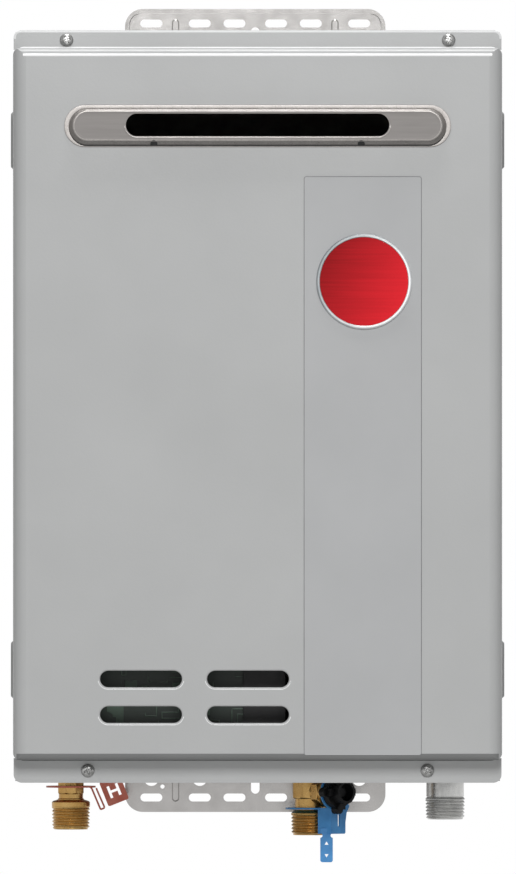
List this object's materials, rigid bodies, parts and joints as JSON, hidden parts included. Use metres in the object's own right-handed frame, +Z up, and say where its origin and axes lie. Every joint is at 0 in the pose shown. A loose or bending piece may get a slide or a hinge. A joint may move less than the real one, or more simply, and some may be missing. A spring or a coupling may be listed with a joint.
{
  "type": "tankless water heater",
  "caption": "Wall-hung outdoor tankless propane water heater: grey sheet case with front exhaust slot, louvres, slotted wall brackets and threaded water and gas pipes.",
  "frame": {"origin": "centre of the four outer bracket slots, on the wall plane", "axes": "+X to the viewer's right, +Y into the wall, +Z up"},
  "size_m": [0.3584, 0.236, 0.6218],
  "materials": {
    "cover_paint": "satin",
    "case_paint": "satin",
    "galvanised_steel": "satin",
    "stainless_steel": "satin",
    "accent_film": "satin",
    "badge_metal": "satin",
    "red_lacquer": "gloss",
    "brass": "satin",
    "zinc_steel": "matte",
    "screw_steel": "satin",
    "black_plastic": "satin",
    "red_tag_plastic": "matte",
    "blue_tag_plastic": "matte",
    "copper": "satin",
    "aluminised_steel": "satin",
    "cast_aluminium": "matte",
    "white_plastic": "matte",
    "grey_plastic": "matte",
    "circuit_board": "satin",
    "rubber": "matte",
    "lead_sheath": "matte",
    "ignition_sheath": "matte",
    "white_ceramic": "matte",
    "screen_steel": "satin"
  },
  "bodies": {
    "case": {"upper_bracket": "galvanised_steel", "lower_bracket": "galvanised_steel", "case_wrapper": "case_paint", "top_panel": "case_paint", "bottom_panel": "case_paint", "case_screws": "screw_steel", "hot_outlet": "brass", "cold_inlet": "brass", "gas_inlet": "zinc_steel", "cable_grommet": "rubber", "cold_tag": "blue_tag_plastic", "burner_box": "aluminised_steel", "burners": "aluminised_steel", "gas_manifold": "cast_aluminium", "exchanger_shell": "copper", "exchanger_fins": "copper", "exchanger_tubes": "copper", "exchanger_coil": "copper", "exhaust_hood": "aluminised_steel", "exhaust_gasket": "rubber", "fan_scroll": "aluminised_steel", "fan_cover": "aluminised_steel", "fan_motor": "grey_plastic", "gas_valve": "cast_aluminium", "gas_coils": "black_plastic", "gas_outlet_pipe": "cast_aluminium", "flow_sensor": "grey_plastic", "water_valve": "brass", "valve_motor": "grey_plastic", "cold_pipe": "copper", "hot_pipe": "copper", "thermistors": "white_plastic", "freeze_heaters": "white_ceramic", "electrode_insulators": "white_ceramic", "electrode_rods": "screw_steel", "igniter": "black_plastic", "ignition_lead": "ignition_sheath", "board_tray": "black_plastic", "control_board": "circuit_board", "board_parts": "grey_plastic", "gas_valve_lead": "lead_sheath", "fan_lead": "lead_sheath", "terminal_block": "white_plastic"},
    "cover": {"front_cover": "cover_paint", "cover_screws": "screw_steel", "exhaust_trim": "stainless_steel", "accent_panel": "accent_film", "badge_rim": "badge_metal", "badge_face": "red_lacquer"},
    "hot_tag": {"hot_tag": "red_tag_plastic"},
    "filter": {"filter_screen": "screen_steel", "filter_seal": "rubber"},
    "filter_knob": {"filter_knob": "black_plastic"},
    "fan_impeller": {"fan_impeller": "aluminised_steel"},
    "flow_turbine": {"flow_turbine": "white_plastic"},
    "valve_spool": {"valve_spool": "brass"},
    "main_gas_plunger": {"main_gas_plunger": "screw_steel"},
    "safety_gas_plunger": {"safety_gas_plunger": "screw_steel"}
  },
  "joints": [
    {"name": "cover_removal", "type": "slide", "parent": "case", "child": "cover", "axis": [0, -1, 0], "range_m": [0, 0.3]},
    {"name": "hot_tag_swivel", "type": "hinge", "parent": "case", "child": "hot_tag", "pos_m": [-0.134, -0.104, -0.27417], "axis": [0, 0, 1], "range_deg": [-60, 60]},
    {"name": "filter_travel", "type": "slide", "parent": "case", "child": "filter", "axis": [0.6691, -0.7431, 0], "range_m": [0, 0.004]},
    {"name": "filter_knob_turn", "type": "hinge", "parent": "filter", "child": "filter_knob", "pos_m": [0.0399, -0.11, -0.27717], "axis": [0.6691, -0.7431, 0], "range_deg": [0, 720]},
    {"name": "fan_spin", "type": "hinge", "parent": "case", "child": "fan_impeller", "pos_m": [-0.0603, -0.065, -0.17937], "axis": [0, 1, 0], "continuous": true},
    {"name": "turbine_spin", "type": "hinge", "parent": "case", "child": "flow_turbine", "pos_m": [0.0399, -0.11, -0.22087], "axis": [0, 0, 1], "continuous": true},
    {"name": "spool_turn", "type": "hinge", "parent": "case", "child": "valve_spool", "pos_m": [0.0399, -0.11, -0.18387], "axis": [0, 1, 0], "range_deg": [0, 90]},
    {"name": "main_plunger_lift", "type": "slide", "parent": "case", "child": "main_gas_plunger", "axis": [0, -1, 0], "range_m": [0, 0.003], "stiffness_N_per_m": 200},
    {"name": "safety_plunger_lift", "type": "slide", "parent": "case", "child": "safety_gas_plunger", "axis": [0, -1, 0], "range_m": [0, 0.003], "stiffness_N_per_m": 200}
  ],
  "couplings": [
    {"joint": "filter_travel", "follows": "filter_knob_turn", "m_per_rad": 0.00031831}
  ]
}
